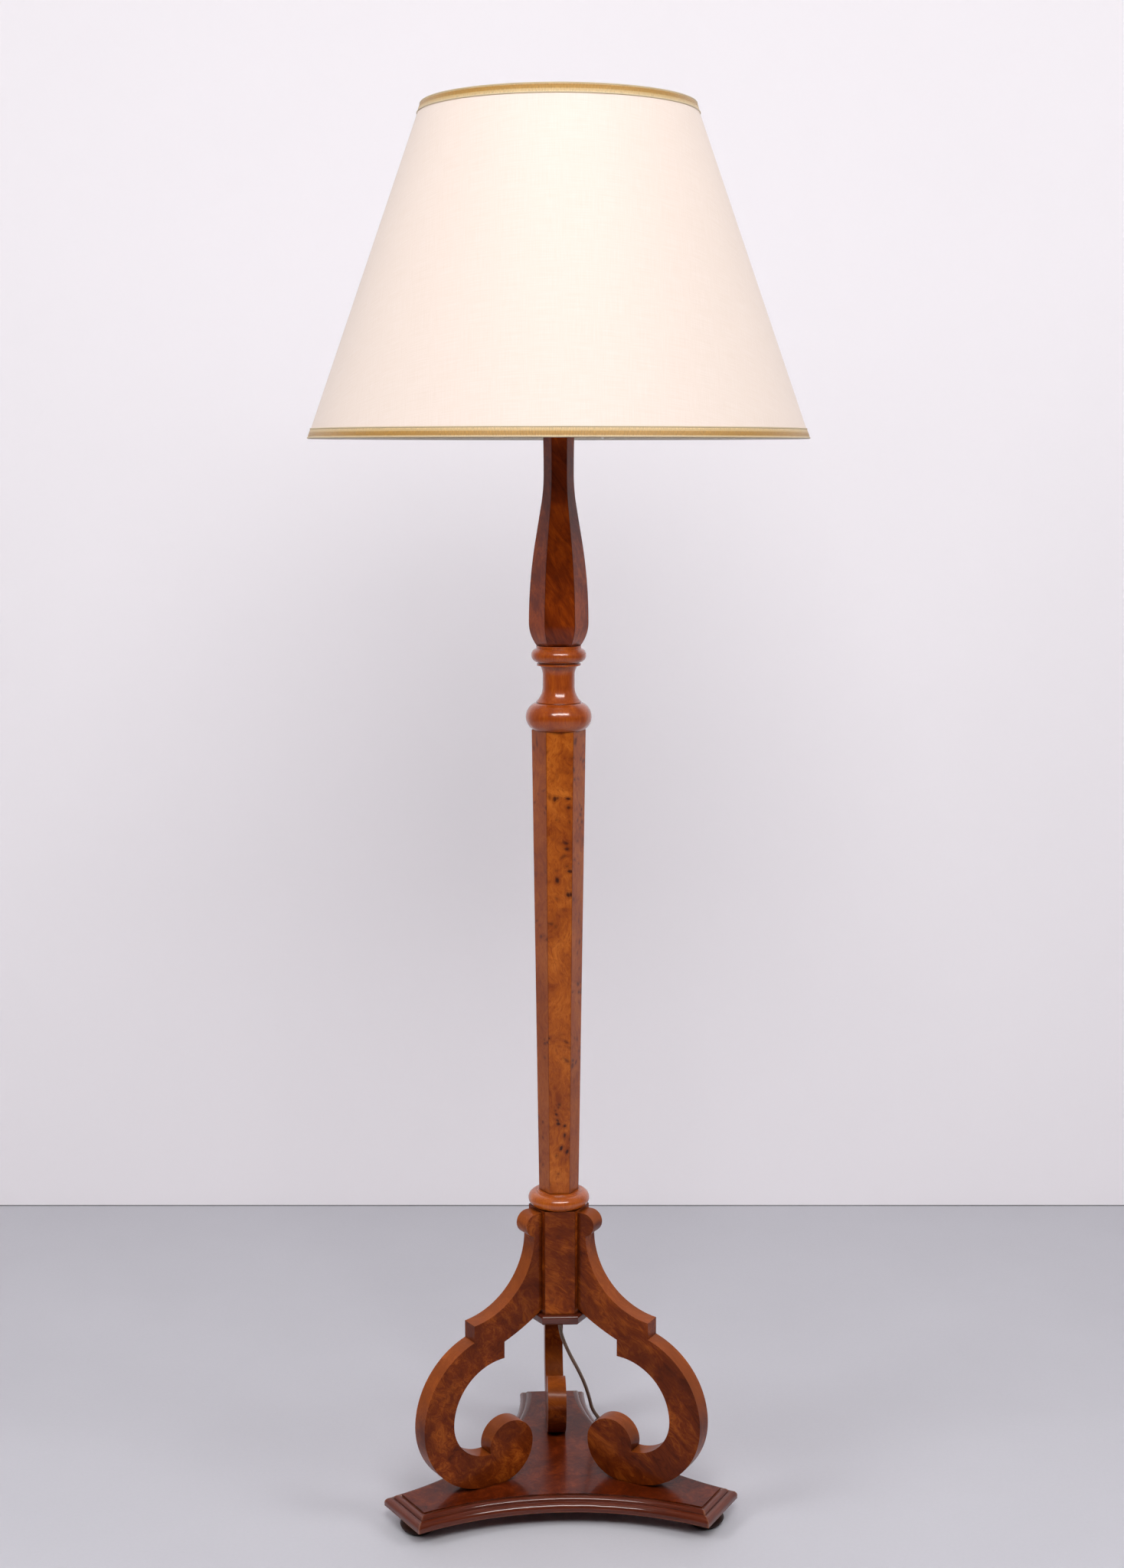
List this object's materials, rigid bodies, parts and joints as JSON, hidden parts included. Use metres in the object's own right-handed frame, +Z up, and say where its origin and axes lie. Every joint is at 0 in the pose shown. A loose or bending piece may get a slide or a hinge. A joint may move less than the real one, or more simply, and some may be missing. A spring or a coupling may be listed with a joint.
{
  "type": "floor lamp",
  "caption": "Floor lamp on a hollow-sided base with scroll legs, a six-sided tapered column, a turned neck and a conical fabric shade.",
  "frame": {"origin": "on the floor, under the axis of the column", "axes": "+Z up along the column, +Y towards the rear leg, the front is -Y"},
  "size_m": [0.5999, 0.6, 1.725],
  "materials": {
    "base_veneer": "glossy polished burr veneer",
    "moulding_wood": "polished reddish brown hardwood",
    "foot_wood": "dark stained turned wood",
    "leg_veneer": "satin burr veneer",
    "column_veneer": "satin burr veneer with dark knots",
    "vase_veneer": "satin figured veneer",
    "turned_wood": "polished turned hardwood",
    "dowel_wood": "raw beech",
    "screw_steel": "zinc plated",
    "brass": "satin brass",
    "insulator": "glazed white",
    "key_plastic": "dark brown moulded",
    "bulb_glass": "frosted white",
    "bulb_metal": "pressed thread",
    "shade_fabric": "cream laminated cloth",
    "braid": "gold braid ribbon",
    "ring_enamel": "white enamel",
    "cord_cover": "beige brown flexible twin cable",
    "tie_band": "soft strap",
    "plug_plastic": "moulded brown",
    "plug_metal": "nickel plated"
  },
  "bodies": {
    "stand": {"base_panel": "base_veneer", "side_moulding_1": "moulding_wood", "side_moulding_2": "moulding_wood", "side_moulding_3": "moulding_wood", "end_moulding_1": "moulding_wood", "end_moulding_2": "moulding_wood", "end_moulding_3": "moulding_wood", "foot_rear": "foot_wood", "foot_left": "foot_wood", "foot_right": "foot_wood", "leg_rear": "leg_veneer", "leg_left": "leg_veneer", "leg_right": "leg_veneer", "leg_screws": "screw_steel", "leg_dowels": "dowel_wood", "leg_block": "leg_veneer", "bottom_plate": "moulding_wood", "plate_screws": "screw_steel", "cord_bush": "brass", "collar": "turned_wood", "column_shaft": "column_veneer", "neck_turning": "turned_wood", "vase_turning": "vase_veneer", "threaded_tube": "screw_steel", "brass_cup": "brass", "holder_cap": "brass", "lock_nut": "screw_steel", "holder_skirt": "brass", "holder_insert": "insulator", "terminal_screws": "screw_steel", "screw_shell": "brass", "centre_contact": "brass", "lower_shade_ring": "brass", "inner_cord": "cord_cover", "cord_drop": "cord_cover", "cord_coil": "cord_cover", "cord_tail": "cord_cover", "coil_tie": "tie_band", "plug_body": "plug_plastic", "plug_pins": "plug_metal"},
    "shade": {"shade_panel": "shade_fabric", "top_trim": "braid", "bottom_trim": "braid", "top_ring": "ring_enamel", "bottom_ring": "ring_enamel", "carrier_hub": "ring_enamel", "carrier_arms": "ring_enamel"},
    "shade_ring": {"upper_shade_ring": "brass"},
    "bulb": {"bulb_contact": "insulator", "bulb_cap": "bulb_metal", "bulb_glass": "bulb_glass"},
    "switch": {"switch_spindle": "screw_steel", "switch_key": "key_plastic"}
  },
  "joints": [
    {"name": "shade_turn", "type": "hinge", "parent": "stand", "child": "shade", "pos_m": [0, 0, 1.4], "axis": [0, 0, 1], "continuous": true},
    {"name": "shade_ring_turn", "type": "hinge", "parent": "stand", "child": "shade_ring", "pos_m": [0, 0, 1.4255], "axis": [0, 0, 1], "range_deg": [0, 630]},
    {"name": "bulb_turn", "type": "hinge", "parent": "stand", "child": "bulb", "pos_m": [0, 0, 1.43], "axis": [0, 0, 1], "range_deg": [0, 900]},
    {"name": "switch_turn", "type": "hinge", "parent": "stand", "child": "switch", "pos_m": [0.02, 0, 1.3905], "axis": [1, 0, 0], "continuous": true}
  ]
}
